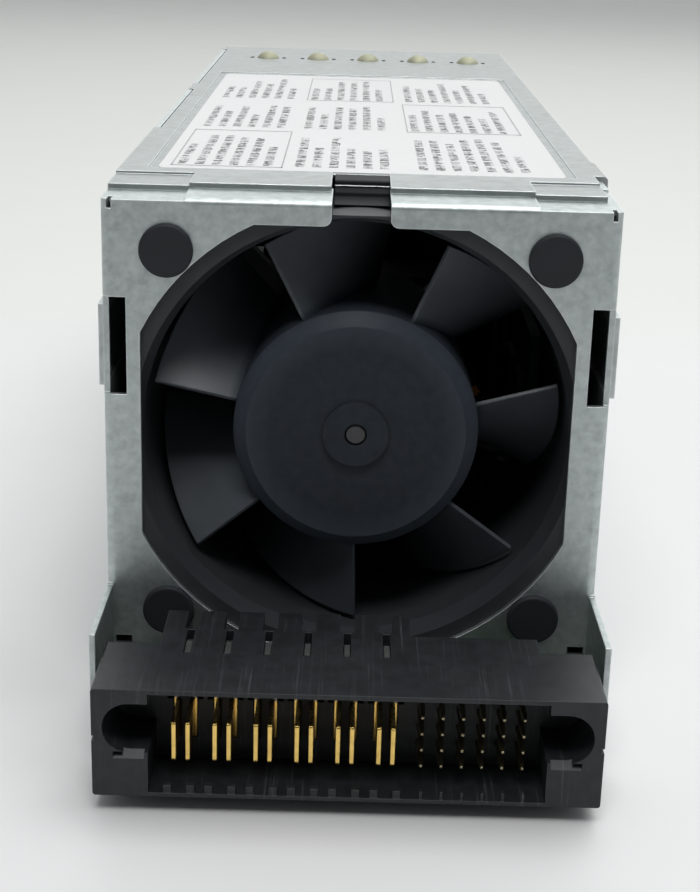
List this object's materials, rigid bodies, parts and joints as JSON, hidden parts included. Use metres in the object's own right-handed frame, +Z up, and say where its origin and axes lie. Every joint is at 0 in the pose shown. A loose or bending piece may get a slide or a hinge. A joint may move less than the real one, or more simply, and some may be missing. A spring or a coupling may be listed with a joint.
{
  "type": "hot swap server power supply",
  "caption": "Long narrow sheet-metal power supply with a fan and a blade-and-pin connector at one end and a pull handle, mains inlet and release lever at the other.",
  "frame": {"origin": "centre of the tray's underside, halfway between the fan face and the rear panel", "axes": "+Z up, +Y from the connector end to the handle end, +X across, to the right seen from the connector end"},
  "size_m": [0.0694, 0.264, 0.0729],
  "materials": {
    "zinc_steel": "zinc-plated sheet, fine spangle",
    "cover_steel": "zinc-plated sheet, satin",
    "screw_steel": "bright zinc",
    "spring_steel": "satin",
    "motor_steel": "dark, satin",
    "shaft_steel": "ground",
    "label_film": "satin white film",
    "button_metal": "pale straw",
    "fan_plastic": "black, satin",
    "rotor_plastic": "black, satin",
    "clip_plastic": "black, satin",
    "black_rubber": "matt black",
    "connector_plastic": "black, satin",
    "gold_contact": "gold plated",
    "board_green": "green solder mask",
    "insulation_film": "cream film",
    "can_sleeve": "shrink sleeve",
    "film_box": "yellow case",
    "ferrite": "dark grey",
    "copper_wire": "enamelled copper",
    "winding_tape": "yellow tape",
    "heatsink_metal": "extruded",
    "package_black": "moulded",
    "inlet_plastic": "black, fine grain",
    "inlet_metal": "nickel plated",
    "light_pipe": "clear",
    "handle_plastic": "black, fine grain",
    "lever_plastic": "terracotta, satin"
  },
  "bodies": {
    "supply": {"chassis_tray": "zinc_steel", "top_cover": "cover_steel", "rating_label": "label_film", "ground_buttons": "button_metal", "cover_screws": "screw_steel", "fan_frame": "fan_plastic", "fan_base": "fan_plastic", "fan_grommets": "black_rubber", "fan_clip": "clip_plastic", "fan_bearings": "shaft_steel", "fan_stator": "motor_steel", "fan_circuit_board": "board_green", "connector_housing": "connector_plastic", "power_blades": "gold_contact", "signal_pins": "gold_contact", "main_board": "board_green", "board_standoffs": "screw_steel", "board_screws": "screw_steel", "insulation_sheet": "insulation_film", "bulk_capacitors": "can_sleeve", "output_capacitors": "can_sleeve", "film_capacitors": "film_box", "choke_core": "ferrite", "choke_winding": "copper_wire", "filter_chokes": "ferrite", "primary_heatsink": "heatsink_metal", "secondary_heatsink": "heatsink_metal", "power_transistors": "package_black", "bridge_rectifier": "package_black", "transformer_core": "ferrite", "transformer_winding": "winding_tape", "control_board": "board_green", "rear_panel": "zinc_steel", "rear_panel_screws": "screw_steel", "inlet_housing": "inlet_plastic", "inlet_pins": "inlet_metal", "status_lights": "light_pipe", "pull_handle": "handle_plastic", "handle_screws": "screw_steel", "lever_bracket": "zinc_steel", "lever_pin": "shaft_steel"},
    "fan_wheel": {"fan_rotor": "rotor_plastic", "rotor_magnet": "motor_steel", "fan_shaft": "shaft_steel"},
    "latch": {"release_lever": "lever_plastic", "lever_spring": "spring_steel"}
  },
  "joints": [
    {"name": "fan_spin", "type": "hinge", "parent": "supply", "child": "fan_wheel", "pos_m": [0, -0.1, 0.04], "axis": [0, -1, 0], "continuous": true},
    {"name": "release_lever_turn", "type": "hinge", "parent": "supply", "child": "latch", "pos_m": [-0.0283, 0.08, 0.052], "axis": [0, 0, -1], "range_deg": [0, 8], "stiffness_Nm_per_rad": 0.5, "springref_deg": -17.19}
  ]
}
